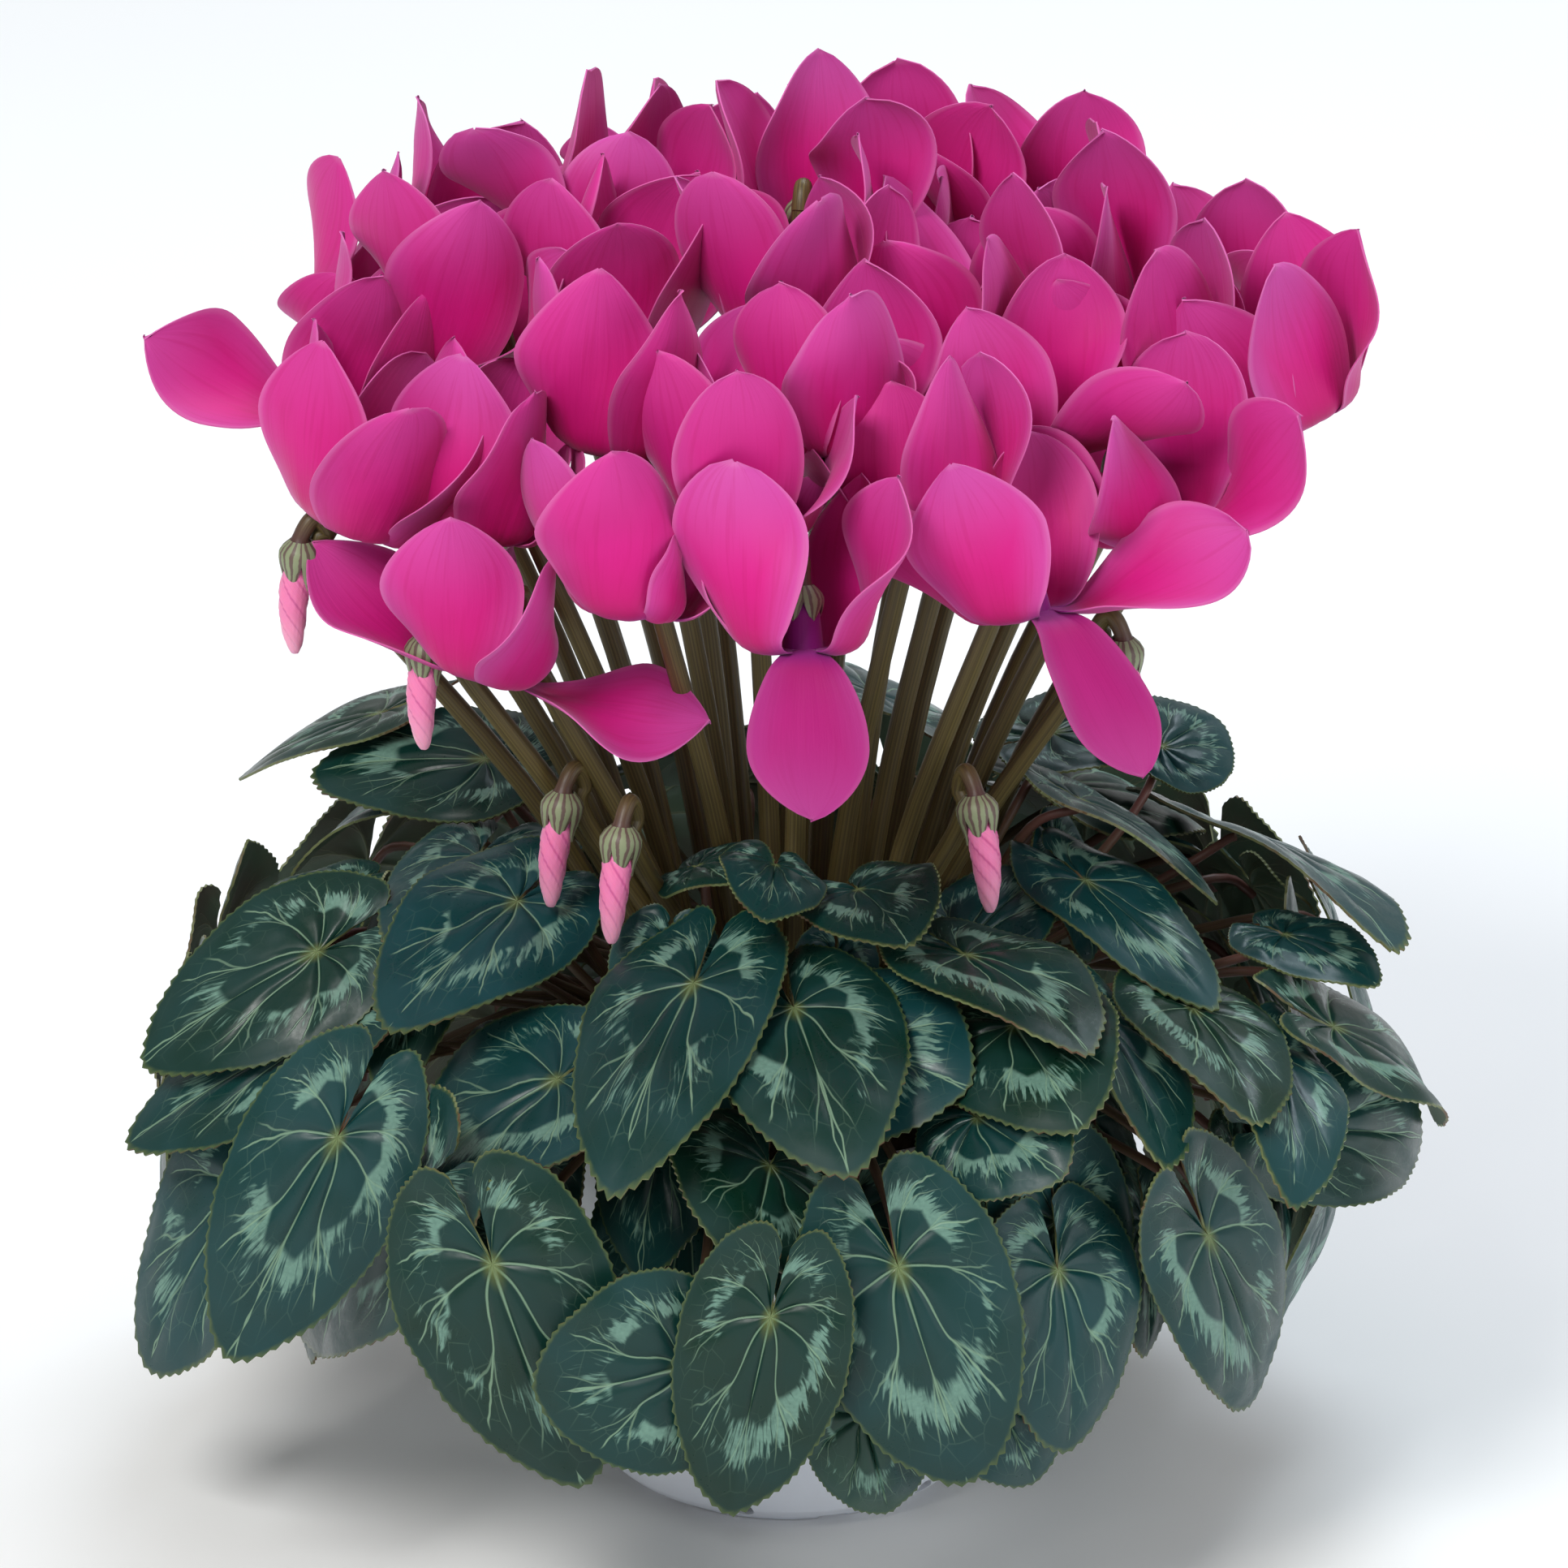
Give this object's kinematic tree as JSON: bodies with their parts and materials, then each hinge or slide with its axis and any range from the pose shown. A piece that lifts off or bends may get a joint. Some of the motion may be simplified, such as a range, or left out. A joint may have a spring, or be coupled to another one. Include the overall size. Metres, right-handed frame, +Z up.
{
  "type": "potted cyclamen",
  "caption": "Potted florist's cyclamen: a dome of magenta swept-petal blooms on hooked stalks over heart-shaped silver-marbled leaves in a white nursery pot.",
  "frame": {"origin": "centre of the flat underside of the pot's foot", "axes": "+Z up along the pot's axis; -Y towards the front of the plant, the side the picture shows; +X to the right seen from the front"},
  "size_m": [0.3372, 0.3549, 0.3593],
  "materials": {
    "pot": "satin moulded white plastic with a faint blue cast",
    "compost": "moist crumbly peat compost",
    "corm": "rough corky brown skin",
    "stalk": "smooth fresh stalk, olive to purplish brown",
    "bud": "furled pale pink petals, satin",
    "petal": "soft velvety magenta petal, faintly veined",
    "leaf": "waxy dark green leaf with a silver-green marbled band and pale veins"
  },
  "bodies": {
    "root": {"pot": "pot", "compost": "compost", "corm": "corm", "flower_stalks": "stalk", "bud_1": "bud", "bud_2": "bud", "bud_3": "bud", "bud_4": "bud", "bud_5": "bud", "bud_6": "bud", "bloom_01": "petal", "bloom_02": "petal", "bloom_03": "petal", "bloom_04": "petal", "bloom_05": "petal", "bloom_06": "petal", "bloom_07": "petal", "bloom_08": "petal", "bloom_09": "petal", "bloom_10": "petal", "bloom_11": "petal", "bloom_12": "petal", "bloom_13": "petal", "bloom_14": "petal", "bloom_15": "petal", "bloom_16": "petal", "bloom_17": "petal", "bloom_18": "petal", "bloom_19": "petal", "bloom_20": "petal", "bloom_21": "petal", "bloom_22": "petal", "bloom_23": "petal", "bloom_24": "petal", "bloom_25": "petal", "bloom_26": "petal", "bloom_27": "petal", "bloom_28": "petal", "bloom_29": "petal", "bloom_30": "petal", "leaves_01": "leaf", "leaves_02": "leaf", "leaves_03": "leaf", "leaves_04": "leaf", "leaves_05": "leaf", "leaves_06": "leaf", "leaves_07": "leaf", "leaves_08": "leaf", "leaves_09": "leaf", "leaves_10": "leaf", "leaves_11": "leaf", "leaves_12": "leaf", "leaves_13": "leaf", "leaves_14": "leaf", "leaves_15": "leaf", "leaves_16": "leaf", "leaves_17": "leaf", "leaves_18": "leaf", "leaves_19": "leaf", "leaves_20": "leaf"}
  },
  "joints": []
}
